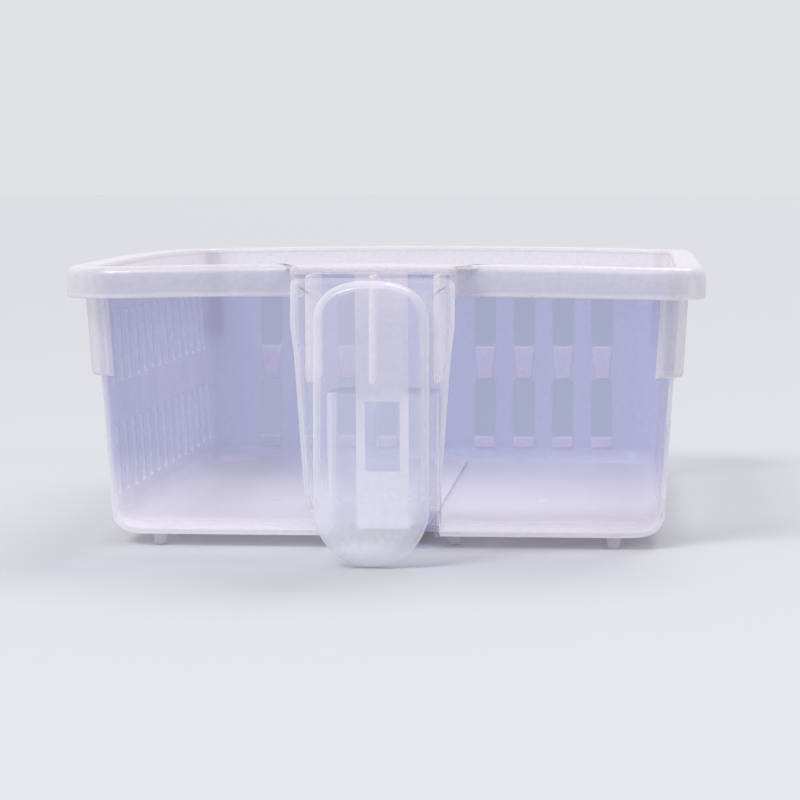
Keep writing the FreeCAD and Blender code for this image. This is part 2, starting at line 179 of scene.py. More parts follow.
# materials: natural polypropylene, clear where thin and milky where the plastic is thicker, with extra milky
# white on free edges that is partly painted highlight
def polypropylene(name, look):
    material = bpy.data.materials.new(name)
    material.use_nodes = True
    tree = material.node_tree
    tree.nodes.clear()

    def node(kind, **values):
        made = tree.nodes.new(kind)
        for key, value in values.items():
            setattr(made, key, value)
        return made

    def link(a, output, b, entry):
        tree.links.new(a.outputs[output], b.inputs[entry])

    def sums(operation, a, b, clamp=False):
        made = node("ShaderNodeMath", operation=operation, use_clamp=clamp)
        for entry, value in enumerate((a, b)):
            if isinstance(value, tuple):
                tree.links.new(value[0].outputs[value[1]], made.inputs[entry])
            else:
                made.inputs[entry].default_value = value
        return (made, 0)

    def noise(source, scale, detail, stretch=(1, 1, 1)):
        turn = node("ShaderNodeMapping")
        turn.inputs["Scale"].default_value = stretch
        made = node("ShaderNodeTexNoise")
        made.inputs["Scale"].default_value = scale
        made.inputs["Detail"].default_value = detail
        link(source, "Object", turn, "Vector")
        link(turn, "Vector", made, "Vector")
        return (made, "Fac")

    place = node("ShaderNodeTexCoord")
    graze = node("ShaderNodeLayerWeight")
    graze.inputs["Blend"].default_value = 0.5
    # per-point milky white read from the mesh; on free edges it is partly a painted highlight
    edge = node("ShaderNodeAttribute", attribute_name="milkAndHighlight")
    # slow flow marks, a fine haze, and small specks inside the plastic
    flow = noise(place, look["flowScale"], 3.0, (1.0, 1.0, 0.35))
    haze = noise(place, 420.0, 2.0)
    ripple = noise(place, look["rippleScale"], 1.5)

    steep = sums("POWER", (graze, "Facing"), look["grazePower"])
    veil = sums("MULTIPLY_ADD", steep, look["grazeVeil"])
    veil[0].inputs[2].default_value = look["veil"]
    if "frontTint" in look:
        split = node("ShaderNodeSeparateXYZ")
        link(place, "Object", split, "Vector")
        rise = node("ShaderNodeMapRange")
        rise.inputs["From Min"].default_value = look["rise"][0] * mm
        rise.inputs["From Max"].default_value = look["rise"][1] * mm
        link(split, "Z", rise, "Value")
        depth = node("ShaderNodeMapRange")
        depth.inputs["From Min"].default_value = look["reach"][0] * mm
        depth.inputs["From Max"].default_value = look["reach"][1] * mm
        link(split, "Y", depth, "Value")
        front = node("ShaderNodeValToRGB")
        front.color_ramp.elements[0].color = (*look["tint"], 1)
        front.color_ramp.elements[1].color = (*look["frontTint"], 1)
        ahead = sums("SUBTRACT", 1.0, (depth, "Result"))
        ahead = sums("MULTIPLY", ahead, (rise, "Result"))
        tree.links.new(ahead[0].outputs[0], front.inputs["Fac"])
        veil = sums("ADD", veil, sums("MULTIPLY", (depth, "Result"), look["slottedVeil"]))
        # milkier towards the tub's floor and the foot of its fillet: partly milkier plastic, partly a painted
        # highlight along the bottom edge
        low = node("ShaderNodeMapRange")
        low.inputs["From Min"].default_value = (tubBottom + 9) * mm
        low.inputs["From Max"].default_value = (tubBottom + 3) * mm
        link(split, "Z", low, "Value")
        veil = sums("ADD", veil, sums("MULTIPLY", (low, "Result"), look["floorMilkAndHighlight"]))
    # edge share of the veil: milkier plastic plus painted highlight along edges
    free = sums("MULTIPLY", (edge, "Fac"), look["edgeMilkAndHighlight"])
    veil = sums("ADD", veil, free)
    uneven = sums("MULTIPLY_ADD", flow, look["flow"])
    uneven[0].inputs[2].default_value = 1 - look["flow"] / 2
    veil = sums("MULTIPLY", veil, uneven)
    speck = sums("MULTIPLY_ADD", haze, look["haze"])
    speck[0].inputs[2].default_value = 1 - look["haze"] / 2
    veil = sums("MULTIPLY", veil, speck, True)
    veil = sums("MINIMUM", veil, 0.96)

    rough = node("ShaderNodeMapRange")
    rough.inputs["To Min"].default_value = look["roughness"] * 0.75
    rough.inputs["To Max"].default_value = look["roughness"] * 1.3
    tree.links.new(haze[0].outputs[haze[1]], rough.inputs["Value"])
    bump = node("ShaderNodeBump")
    bump.inputs["Strength"].default_value = look["bump"]
    bump.inputs["Distance"].default_value = 0.0006
    tree.links.new(ripple[0].outputs[ripple[1]], bump.inputs["Height"])

    milk = node("ShaderNodeValToRGB")
    milk.color_ramp.elements[0].color = (*look["milkThin"], 1)
    milk.color_ramp.elements[1].color = (*look["milkThick"], 1)
    tree.links.new(veil[0].outputs[veil[1]], milk.inputs["Fac"])

    clear = node("ShaderNodeBsdfTransparent")
    clear.inputs["Color"].default_value = (*look["tint"], 1)
    if "frontTint" in look:                      # the smooth front wall is clearer and bluer
        link(front, "Color", clear, "Color")
    lit = node("ShaderNodeBsdfDiffuse")
    through = node("ShaderNodeBsdfTranslucent")
    for scatter in (lit, through):
        link(milk, "Color", scatter, "Color")
        link(bump, "Normal", scatter, "Normal")
    body = node("ShaderNodeMixShader")
    body.inputs[0].default_value = look["glow"]
    link(lit, 0, body, 1)
    link(through, 0, body, 2)
    wall = node("ShaderNodeMixShader")
    tree.links.new(veil[0].outputs[veil[1]], wall.inputs[0])
    link(clear, 0, wall, 1)
    link(body, 0, wall, 2)

    shine = node("ShaderNodeBsdfGlossy")
    link(rough, "Result", shine, "Roughness")
    link(bump, "Normal", shine, "Normal")
    mirror = sums("POWER", (graze, "Facing"), 4.0)
    mirror = sums("MULTIPLY_ADD", mirror, look["grazeGloss"])
    mirror[0].inputs[2].default_value = look["gloss"]
    surface = node("ShaderNodeMixShader")
    tree.links.new(mirror[0].outputs[mirror[1]], surface.inputs[0])
    link(wall, 0, surface, 1)
    link(shine, 0, surface, 2)
    output = node("ShaderNodeOutputMaterial")
    link(surface, 0, output, "Surface")
    return material


# what the finishes share; a veil is the milky share, and the edge share belongs to thicker parts or free
# edges, where it is partly a painted highlight
sharedLook = {"haze": 0.25, "bump": 0.15, "glow": 0.5, "rippleScale": 40.0, "flow": 0.35, "flowScale": 16.0,
              "roughness": 0.18, "gloss": 0.02}
finishes = {
    "clearWall": {"veil": 0.03, "grazeVeil": 0.52, "grazePower": 2.6, "edgeMilkAndHighlight": 0.07,
                  "slottedVeil": 0.3, "floorMilkAndHighlight": 0.34, "reach": (tubFront + 12, tubFront + 30),
                  "rise": (tubBottom + 4, tubBottom + 34), "flow": 0.5, "flowScale": 18.0,
                  "rippleScale": 45.0, "bump": 0.2, "roughness": 0.12, "grazeGloss": 0.3,
                  "tint": (0.945, 0.945, 0.965), "frontTint": (0.69, 0.71, 0.83),
                  "milkThin": (0.9, 0.88, 0.925), "milkThick": (0.95, 0.905, 0.92)},
    "clearRecess": {"veil": 0.01, "grazeVeil": 0.2, "grazePower": 3.0, "edgeMilkAndHighlight": 0.2,
                    "slottedVeil": 0.0, "floorMilkAndHighlight": 0.0,
                    "reach": (recessBack - 12.0, recessBack - 9.0), "rise": (-2.0, -1.0),
                    "flow": 0.4, "flowScale": 18.0, "haze": 0.2, "rippleScale": 45.0, "bump": 0.1,
                    "roughness": 0.14, "gloss": 0.01, "grazeGloss": 0.15,
                    "tint": (0.72, 0.745, 0.845), "frontTint": (0.93, 0.935, 0.955),
                    "milkThin": (0.88, 0.87, 0.92), "milkThick": (0.93, 0.9, 0.93)},
    "milkyRim": {"veil": 0.24, "grazeVeil": 0.4, "grazePower": 2.2, "edgeMilkAndHighlight": 0.42,
                 "flowScale": 12.0, "gloss": 0.025, "grazeGloss": 0.25,
                 "tint": (0.925, 0.92, 0.94), "milkThin": (0.8, 0.78, 0.805),
                 "milkThick": (0.78, 0.758, 0.775)},
    "softRib": {"veil": 0.42, "grazeVeil": 0.3, "grazePower": 2.0, "edgeMilkAndHighlight": 0.3,
                "grazeGloss": 0.2, "tint": (0.96, 0.945, 0.955), "milkThin": (0.94, 0.895, 0.915),
                "milkThick": (0.95, 0.905, 0.92)},
    "softPlate": {"veil": 0.55, "grazeVeil": 0.2, "grazePower": 2.0, "edgeMilkAndHighlight": 0.2,
                  "grazeGloss": 0.15, "tint": (0.97, 0.955, 0.96), "milkThin": (0.95, 0.9, 0.91),
                  "milkThick": (0.96, 0.91, 0.92)},
    "milkyGrip": {"veil": 0.15, "grazeVeil": 0.4, "grazePower": 2.4, "edgeMilkAndHighlight": 0.6, "flow": 0.4,
                  "flowScale": 14.0, "roughness": 0.14, "gloss": 0.025, "grazeGloss": 0.3,
                  "tint": (0.95, 0.96, 0.985), "milkThin": (0.86, 0.85, 0.885),
                  "milkThick": (0.84, 0.815, 0.83)},
}
clearWall, clearRecess, milkyRim, softRib, softPlate, milkyGrip = [
    polypropylene(name, {**sharedLook, **look}) for name, look in finishes.items()]
print("materials made")

# tub: one shell of floor, walls and slotted panels, with a notch for the finger recess
tub = {"wall": 1.8, "cornerRadius": 16.0, "sideDraft": 5.9, "frontDraft": 9.0, "backDraft": 6.0,
       "filletOuter": 8.0, "filletInner": 6.2, "topGap": 0.8, "cornerSteps": 10, "crown": 1.4,
       "notchGap": 0.05, "notchRadius": 10.85}
slots = {"width": 10.5, "pitch": 19.2, "sideCount": 14, "backPerSide": 4, "backFirst": 24.4,
         "radius": 1.5, "low": (18.6, 46.9), "high": (63.3, 92.0), "margin": 1.3, "soften": 0.4}
flangeUnder = rimTop - tub["wall"]
shellTop = flangeUnder - tub["topGap"]
filletStart = tubBottom + tub["filletOuter"]
notchHalf = recessHalf + tub["notchGap"]


def tubPlan(column, z, inset):
    # where a column of the tub's outline stands at height z, moved in by inset
    kind, value = column
    lean = (flangeUnder - z) / (flangeUnder - tubBottom)
    half = tubHalf - tub["sideDraft"] * lean - inset
    front = tubFront + tub["frontDraft"] * lean + inset
    back = tubBack - tub["backDraft"] * lean - inset
    if kind == "front":
        return value, front
    if kind == "back":
        return value, back
    if kind == "right":
        return half, value
    if kind == "left":
        return -half, value
    radius = tub["cornerRadius"] - inset
    x = math.copysign(half - radius, math.cos(kind)) + radius * math.cos(value)
    y = (front + radius if math.sin(kind) < 0 else back - radius) + radius * math.sin(value)
    return x, y


def rimCrown(x, y):
    # the rim rises a little between its corners
    along = abs(x) / rimHalf, abs(y - middleY) / (rimBack - middleY)
    if along[1] > along[0]:
        return tub["crown"] * max(0, 1 - (along[0] / 0.85) ** 2)
    return tub["crown"] * max(0, 1 - (along[1] / 0.88) ** 2)


def tubColumns():
    columns = [("front", x) for x in (notchHalf, 46.0, 72.0)]
    sideEnds = [middleY + (i - slots["sideCount"] / 2) * slots["pitch"]
                for i in range(slots["sideCount"] + 1)]
    backEnds = [slots["backFirst"] + (i - 0.5) * slots["pitch"] for i in range(slots["backPerSide"] + 1)]
    backEnds = backEnds[::-1] + [-x for x in backEnds]
    turn = math.radians(90)
    for middle, start, after in ((-45, -90, [("right", y) for y in sideEnds]),
                                 (45, 0, [("back", x) for x in backEnds]),
                                 (135, 90, [("left", y) for y in sideEnds[::-1]]),
                                 (225, 180, [("front", x) for x in (-72.0, -46.0, -notchHalf)])):
        columns += [(math.radians(middle), a) for a in arc(start, start + 90, tub["cornerSteps"])]
        columns += after
    return columns


def slotRing(grow, z0, z1):
    # rounded outline of one slot, from the middle of its lower left corner and round
    half = slots["width"] / 2
    radius = slots["radius"]
    middles = [(-half + radius, z0 + radius), (half - radius, z0 + radius),
               (half - radius, z1 - radius), (-half + radius, z1 - radius)]
    ring = []
    for k, start in enumerate((-135, -45, 45, 135)):
        here = middles[k]
        after = middles[(k + 1) % 4]
        for a in arc(start, start + 45, 2):
            ring.append((here[0] + (radius + grow) * math.cos(a), here[1] + (radius + grow) * math.sin(a)))
        for a in arc(start + 45, start + 90, 2)[:-1]:
            ring.append((after[0] + (radius + grow) * math.cos(a), after[1] + (radius + grow) * math.sin(a)))
    return ring


def slotCell(z0, z1):
    # one slot with its softened edges in a plain frame: x along the wall, y into it, z up
    half = slots["pitch"] / 2
    low, high = z0 - slots["margin"], z1 + slots["margin"]
    deep, soft = tub["wall"], slots["soften"]
    # third number of each level whitens the slot's border: plastic seen edge-on, and partly a painted
    # highlight along the border
    levels = [(2 * soft, 0, 0.0), (soft, 0, 0.15), (soft * 0.3, soft * 0.3, 0.8), (0, soft, 1.0),
              (0, deep - soft, 1.0), (soft * 0.3, deep - soft * 0.3, 0.8), (soft, deep, 0.15),
              (2 * soft, deep, 0.0)]
    verts, faces, milkAndHighlight = [], [], []
    for y in (0, deep):
        verts += [(-half, y, low), (half, y, low), (half, y, high), (-half, y, high)]
        milkAndHighlight += [0] * 4
    rings = []
    for grow, y, edge in levels:
        ring = slotRing(grow, z0, z1)
        rings.append([len(verts) + i for i in range(len(ring))])
        verts += [(x, y, z) for x, z in ring]
        milkAndHighlight += [edge] * len(ring)
    count = len(rings[0])
    step = count // 4
    for corners, ring, turned in ((0, rings[0], False), (4, rings[-1], True)):
        for k in range(4):
            face = [corners + k, corners + (k + 1) % 4]
            face += [ring[(step * k + i) % count] for i in range(step, -1, -1)]
            faces.append(face[::-1] if turned else face)
    for a, b in zip(rings, rings[1:]):
        for i in range(count):
            j = (i + 1) % count
            faces.append([a[i], a[j], b[j], b[i]])
    return verts, faces, milkAndHighlight


def slotRow(name, z0, z1, count):
    # slot cells in a row, centred on x = 0, as points, faces and edge amounts
    verts, faces, milkAndHighlight = slotCell(z0, z1)
    cell = addMesh(name + "Cell", [(x / mm, y / mm, z / mm) for x, y, z in verts], faces, milkAndHighlight, 1.0)
    row = repeated(name, cell, clearWall, count, (slots["pitch"], 0, 0),
                   (-(count - 1) / 2 * slots["pitch"], 0, 0))
    mesh = row.data
    points = [tuple(v.co) for v in mesh.vertices]
    outlines = [list(p.vertices) for p in mesh.polygons]
    edges = [d.value for d in mesh.attributes["milkAndHighlight"].data]
    bpy.data.objects.remove(row)
    return points, outlines, edges


def tubShell():
    columns = tubColumns()
    margin = slots["margin"]
    rows = [shellTop, slots["high"][1] + margin, slots["high"][0] - margin,
            slots["low"][1] + margin, slots["low"][0] - margin, filletStart]
    levels = [(z, 0.0, z, tub["wall"]) for z in rows]
    for a in arc(0, 90, 7)[1:]:
        levels.append((filletStart - tub["filletOuter"] * math.sin(a), tub["filletOuter"] * (1 - math.cos(a)),
                       filletStart - tub["filletInner"] * math.sin(a),
                       tub["filletOuter"] - tub["filletInner"] * math.cos(a)))
    verts, faces, milkAndHighlight, place = [], [], [], {}
    for face in (0, 1):
        for row, level in enumerate(levels):
            z, inset = level[2 * face], level[2 * face + 1]
            for i, column in enumerate(columns):
                x, y = tubPlan(column, z, inset)
                place[face, row, i] = len(verts)
                verts.append((x, y, z + (rimCrown(x, y) if row == 0 else 0)))
                milkAndHighlight.append(0)
    count = len(columns)
    notchRow = 2        # the notch begins under this row

    def slotted(row, i):
        kinds = {columns[i][0], columns[(i + 1) % count][0]}
        if row not in (1, 3) or len(kinds) != 1 or kinds & {"front"}:
            return False
        if isinstance(columns[i][0], float):
            return False
        if kinds == {"back"} and columns[i][1] * columns[i + 1][1] < 0:
            return False
        return True

    for row in range(len(levels) - 1):
        for i in range(count):
            j = (i + 1) % count
            if slotted(row, i) or (j == 0 and row >= notchRow):
                continue
            outer = [place[0, row + 1, i], place[0, row + 1, j], place[0, row, j], place[0, row, i]]
            inner = [place[1, row + 1, i], place[1, row, i], place[1, row, j], place[1, row + 1, j]]
            faces += [outer, inner]
    last = len(levels) - 1
    for i in range(count):                       # top edge, under the rim
        j = (i + 1) % count
        faces.append([place[0, 0, i], place[0, 0, j], place[1, 0, j], place[1, 0, i]])
    for row in range(notchRow, last):            # upright edges of the notch
        faces.append([place[0, row, 0], place[1, row, 0], place[1, row + 1, 0], place[0, row + 1, 0]])
        end = count - 1
        faces.append([place[0, row, end], place[0, row + 1, end], place[1, row + 1, end], place[1, row, end]])
    faces.append([place[0, notchRow, count - 1], place[1, notchRow, count - 1],
                  place[1, notchRow, 0], place[0, notchRow, 0]])
    # notch edge through the floor, then the floor itself
    radius = tub["notchRadius"]
    backLine = recessBack + tub["notchGap"]
    path = [(-notchHalf + radius + radius * math.cos(a), backLine - radius + radius * math.sin(a))
            for a in arc(180, 90, 6)]
    path += [(-x, y) for x, y in path[::-1]]
    floorPoints = {}
    for face, level in ((0, levels[-1][0]), (1, levels[-1][2])):
        ids = []
        for x, y in path:
            ids.append(len(verts))
            verts.append((x, y, level))
            milkAndHighlight.append(0.3)
        floorPoints[face] = [place[face, last, count - 1]] + ids + [place[face, last, 0]]
    for a, b, c, d in zip(floorPoints[0], floorPoints[0][1:], floorPoints[1], floorPoints[1][1:]):
        faces.append([a, b, d, c])
    for face in (0, 1):
        outline = [place[face, last, i] for i in range(count)] + floorPoints[face][1:-1]
        faces.append(outline[::-1] if face == 0 else outline)
    # slotted panels
    for z0, z1 in (slots["low"], slots["high"]):
        points, outlines, edges = slotRow("slotRow", z0, z1, slots["sideCount"])
        for wall, sign in (("right", 1), ("left", -1)):
            base = len(verts)
            for u, depth, z in points:
                x, y = tubPlan((wall, middleY + sign * u), z, depth)
                verts.append((x, y, z))
            milkAndHighlight.extend(edges)
            faces += [[base + i for i in f] for f in outlines]
        points, outlines, edges = slotRow("slotRow", z0, z1, slots["backPerSide"])
        middle = slots["backFirst"] + (slots["backPerSide"] - 1) / 2 * slots["pitch"]
        for sign in (-1, 1):
            base = len(verts)
            for u, depth, z in points:
                x, y = tubPlan(("back", sign * middle - u), z, depth)
                verts.append((x, y, z))
            milkAndHighlight.extend(edges)
            faces += [[base + i for i in f] for f in outlines]
    return addMesh("tubShell", verts, faces, milkAndHighlight, 0.02)


shell = tubShell()
finish(shell, clearWall, "floor_pan", "front_wall", "side_wall_left", "side_wall_right", "back_wall")
print("tub shell", len(shell.data.polygons), "faces")


# rim with its down-turned skirt, carried forward as the top of the nose
rim = {"cornerRadius": 22.0, "edgeRadius": 3.5, "wall": 1.8, "lipRadius": 1.4, "flare": 12.0,
       "flareFoot": 1.0,
       "noseHalf": 30.8, "noseCorner": 3.0, "noseEdge": 1.3, "noseLow": 108.2, "lipReach": 4.8}


def flarePoint(angle, sign, z):
    # the concave corner between rim and nose, tight at its foot and wide at its top
    h = min(0.93, max(0.0, (z - skirtBottom) / (rimTop - skirtBottom)))
    radius = rim["flareFoot"] + (rim["flare"] - rim["flareFoot"]) * (1 - math.sqrt(1 - h * h))
    return (sign * (rim["noseHalf"] + radius - radius * math.cos(angle)),
            rimFront - radius + radius * math.sin(angle))


def rimPath():
    # columns of outer point, outward direction, inner point, its direction, lower edge, edge radius;
    # an outer point in the flare is given as its angle and side, as it moves with height
    inHalf, inFront, inBack = tubHalf - tub["wall"], tubFront + tub["wall"], tubBack - tub["wall"]
    inRadius = tub["cornerRadius"] - tub["wall"]
    radius = rim["cornerRadius"]
    outX, inX = rimHalf - radius, inHalf - inRadius
    flareEnd = rim["noseHalf"] + rim["flare"]
    edge = rim["edgeRadius"]
    path = []

    def straight(a, b, c, d, normal, steps):
        for i in range(steps):
            t = i / steps
            outer = (a[0] + (b[0] - a[0]) * t, a[1] + (b[1] - a[1]) * t)
            inner = (c[0] + (d[0] - c[0]) * t, c[1] + (d[1] - c[1]) * t)
            path.append((outer, normal, inner, normal, skirtBottom, edge))

    def corner(outer, inner, start):
        for a in arc(start, start + 90, 12)[:-1]:
            away = (math.cos(a), math.sin(a))
            path.append(((outer[0] + radius * away[0], outer[1] + radius * away[1]), away,
                         (inner[0] + inRadius * away[0], inner[1] + inRadius * away[1]), away,
                         skirtBottom, edge))

    outY = (rimFront + radius, rimBack - radius)
    inY = (inFront + inRadius, inBack - inRadius)
    straight((flareEnd, rimFront), (outX, rimFront), (flareEnd, inFront), (inX, inFront), (0, -1), 6)
    corner((outX, outY[0]), (inX, inY[0]), -90)
    straight((rimHalf, outY[0]), (rimHalf, outY[1]), (inHalf, inY[0]), (inHalf, inY[1]), (1, 0), 16)
    corner((outX, outY[1]), (inX, inY[1]), 0)
    straight((outX, rimBack), (-outX, rimBack), (inX, inBack), (-inX, inBack), (0, 1), 14)
    corner((-outX, outY[1]), (-inX, inY[1]), 90)
    straight((-rimHalf, outY[1]), (-rimHalf, outY[0]), (-inHalf, inY[1]), (-inHalf, inY[0]), (-1, 0), 16)
    corner((-outX, outY[0]), (-inX, inY[0]), 180)
    straight((-outX, rimFront), (-flareEnd, rimFront), (-inX, inFront), (-flareEnd, inFront), (0, -1), 6)
    # nose, left half and then its mirror
    nose = []
    flare, half, bend = rim["flare"], rim["noseHalf"], rim["noseCorner"]
    small, lipEnd = rim["noseEdge"], noseFace + rim["lipReach"]
    for i, a in enumerate(arc(90, 0, 10)):
        nose.append(((a, -1), (-math.cos(a), -math.sin(a)), skirtBottom, edge - 1.0 * i / 10))
    for y, low, radius2 in ((rimFront - flare - 6, skirtBottom, 2.1), (lipEnd + 0.6, skirtBottom, 1.6),
                            (lipEnd, rim["noseLow"], small)):
        nose.append(((-half, y), (-1, 0), low, radius2))
    for a in arc(180, 270, 5):
        nose.append(((-half + bend + bend * math.cos(a), noseFace + bend + bend * math.sin(a)),
                     (math.cos(a), math.sin(a)), rim["noseLow"], small))
    for x in np.linspace(-half + bend, 0, 8)[1:]:
        nose.append(((float(x), noseFace), (0, -1), rim["noseLow"], small))
    # inner points run along the mouth's front line, in step with the outline's length
    lengths = [0.0]
    for one, other in zip(nose, nose[1:]):
        a, b = (flarePoint(*p[0], rimTop) if p[0][1] == -1 else p[0] for p in (one, other))
        lengths.append(lengths[-1] + math.dist(a, b) * (1.0 if abs(b[1] - noseFace) < 0.01 else 0.12))
    inner = [-flareEnd + flareEnd * s / lengths[-1] for s in lengths]
    left = [(p, n, (x, inFront), (0, -1), low, r) for (p, n, low, r), x in zip(nose, inner)]
    right = [((p[0], 1) if p[1] == -1 else (-p[0], p[1]), (-n[0], n[1]), (-q[0], q[1]), m, z, r)
             for p, n, q, m, z, r in left[::-1]]
    return path + left + right[1:-1]


def rimAndNose():
    path = rimPath()
    wall, lip = rim["wall"], rim["lipRadius"]
    # each ring: how it is placed, distance in, height, and edge amount; the edge amount whitens the inner
    # lip, top rounding and skirt's lower edge, partly as painted highlight for their reflections
    rings = [("in", 0, shellTop + 0.02, 0.1), ("in", 0, rimTop - lip, 0.3)]
    rings += [("in", lip * (1 - math.cos(a)), rimTop - lip + lip * math.sin(a), 0.6)
              for a in arc(0, 90, 4)[1:]]
    rings += [("top", 1.2, 0, 0.4)]
    rings += [("edge", 1 - math.sin(a), 1 - math.cos(a), 0.55 - 0.3 * math.sin(a)) for a in arc(0, 90, 8)]
    rings += [("skirt", 0, z, 0.25) for z in (7.4, 6.0, 4.6, 3.4, 2.2)]
    half = wall / 2
    rings += [("skirt", half * (1 - math.cos(a)), half * (1 - math.sin(a)), 0.7 + 0.3 * math.sin(a))
              for a in arc(0, 180, 6)]
    rings += [("skirt", wall, z, 0.0) for z in (2.2, 4.0, 6.0, 7.4)]
    rings += [("under", 1 - math.cos(a), 1 - math.sin(a), 0.1) for a in arc(0, 90, 3)]
    rings += [("in", wall + 1.5, flangeUnder, 0.1), ("in", wall + 0.4, flangeUnder - 0.2, 0.1),
              ("in", wall, shellTop + 0.02, 0.1)]
    verts, milkAndHighlight = [], []
    for kind, offset, z, amount in rings:
        for outer, outNormal, inner, inNormal, low, edge in path:
            inside = max(edge - wall, 0.2)
            tall = 1.0 if low == skirtBottom else 0.25
            if kind == "in":
                x, y, height = inner[0] + offset * inNormal[0], inner[1] + offset * inNormal[1], z
            else:
                depth, height = {"top": (edge + offset, rimTop), "edge": (edge * offset, rimTop - edge * z),
                                 "skirt": (offset, low + z * tall),
                                 "under": (wall + inside * offset, flangeUnder - inside * z)}[kind]
                if outer[1] in (-1, 1):
                    outer = flarePoint(*outer, height)
                x, y = outer[0] - depth * outNormal[0], outer[1] - depth * outNormal[1]
            verts.append((x, y, height + rimCrown(*inner)))
            if tall < 1.0:
                amount = {"skirt": 0.1, "edge": amount * 0.8}.get(kind, amount)
            milkAndHighlight.append(amount)
    count = len(path)
    faces = []
    for r in range(len(rings)):
        nextRing = (r + 1) % len(rings)
        for i in range(count):
            j = (i + 1) % count
            faces.append([nextRing * count + i, nextRing * count + j, r * count + j, r * count + i])
    return addMesh("rimAndNose", verts, faces, milkAndHighlight)


rimPiece = rimAndNose()
finish(rimPiece, milkyRim, "rim_rail_front", "rim_rail_back", "rim_rail_left", "rim_rail_right",
       "handle_bridge", slot="rim")
print("rim and nose", len(rimPiece.data.polygons), "faces")


# grip: a long capsule-shaped shell, open at its back, and the panel round it
grip = {"half": 21.6, "top": 107.2, "arch": 17.0, "square": 2.5, "bottom": 0.4, "wall": 2.0, "edge": 4.6,
        "bowl": 13.0, "crown": 0.9, "rings": 24, "band": 1.6,
        "bandAmount": 0.34, "bandFade": 2.4, "milk": 0.68, "milkFrom": 44.0, "milkTo": 4.0}


def capsule(inset):
    # outline moved in by inset, from the middle of the top round to the left
    scale = (grip["half"] - inset) / grip["half"]
    half, arch = grip["half"] * scale, grip["arch"] * scale
    upper, lower = grip["top"] - grip["arch"], grip["bottom"] + grip["half"]
    power = 2 / grip["square"]
    left = [(-half * abs(math.cos(a)) ** power, upper + arch * math.sin(a) ** power)
            for a in arc(90, 180, 14)]
    left[-1] = (-half, upper)
    left += [(-half, upper + (lower - upper) * i / 6) for i in range(1, 6)]
    left += [(half * math.cos(a), lower + half * math.sin(a)) for a in arc(180, 270, 14)]
    left[0], left[-1] = (0.0, left[0][1]), (0.0, left[-1][1])
    return left + [(-x, z) for x, z in left[-2:0:-1]]


def gripShell():
    depth = noseFace - gripFace
    lower = grip["bottom"] + grip["half"]

    def skin(inset, shallow):
        # rings of points from the open edge to the middle line, and their edge amounts
        rings = [[(x, noseFace - 0.03, z) for x, z in capsule(inset)]]
        amounts = [[grip["bandAmount"]] * len(rings[0])]
        reach = grip["half"] - inset
        for step in range(grip["rings"] + 1):
            e = reach * (1 - math.cos(step / grip["rings"] * math.pi / 2)) ** 0.95 if step else 0.0
            e = min(e, reach - 0.001)
            ring, amount = [], []
            for x, z in capsule(inset + e):
                low = min(1.0, max(0.0, (lower - z) / grip["half"]))
                edge = grip["edge"] + (grip["bowl"] - grip["edge"]) * low ** 2 - inset * 0.6
                rise = (1 - (1 - min(e / edge, 1.0)) ** 2.3) ** (1 / 2.3)
                flat = depth - grip["crown"] - shallow
                height = flat * 0.28 + flat * 0.72 * rise + grip["crown"] * (1 - (1 - e / reach) ** 2)
                ring.append((x, noseFace - height, z))
                beyond = max(0.0, e + inset - grip["band"])
                band = grip["bandAmount"] * max(0.0, 1 - beyond / grip["bandFade"])
                # milkier and whiter towards the bowl's bottom: partly a more opaque bowl, partly painted
                # light that lifts the shade under the grip
                milk = (grip["milkFrom"] - z) / (grip["milkFrom"] - grip["milkTo"])
                milk = grip["milk"] * min(1.0, max(0.0, milk)) ** 1.3
                amount.append(max(band, milk))
            rings.append(ring)
            amounts.append(amount)
        return rings, amounts
    verts, faces, milkAndHighlight = [], [], []
    skins = [skin(0.0, 0.0), skin(grip["wall"], grip["wall"])]
    for rings, amounts in skins:
        for ring, amount in zip(rings, amounts):
            verts += ring
            milkAndHighlight += amount
    around, total = len(skins[0][0][0]), len(skins[0][0])
    for s in (0, 1):
        base = s * total * around
        for r in range(total - 1):
            for k in range(around):
                j = (k + 1) % around
                face = [base + r * around + k, base + r * around + j,
                        base + (r + 1) * around + j, base + (r + 1) * around + k]
                faces.append(face[::-1] if s == 0 else face)
        # the last ring has closed to a line: join its left half to its right half
        ring = base + (total - 1) * around
        for i in range(around // 2):
            a, b = ring + i, ring + i + 1
            c, d = ring + (around - i - 1) % around, ring + (around - i) % around
            face = list(dict.fromkeys([a, b, c, d]))
            if len(face) > 2:
                faces.append(face[::-1] if s == 0 else face)
    for k in range(around):                      # open edge
        j = (k + 1) % around
        faces.append([k, j, total * around + j, total * around + k])
    return addMesh("gripShell", verts, faces, milkAndHighlight, 0.003)


gripPiece = gripShell()
finish(gripPiece, milkyGrip, "handle_grip", slot="handle")
print("grip", len(gripPiece.data.polygons), "faces")

panel = {"halfTop": 30.8, "halfLow": 25.2, "bottom": 21.0, "wall": 1.8, "corner": 3.0, "lip": 4.8,
         "hide": 1.0}


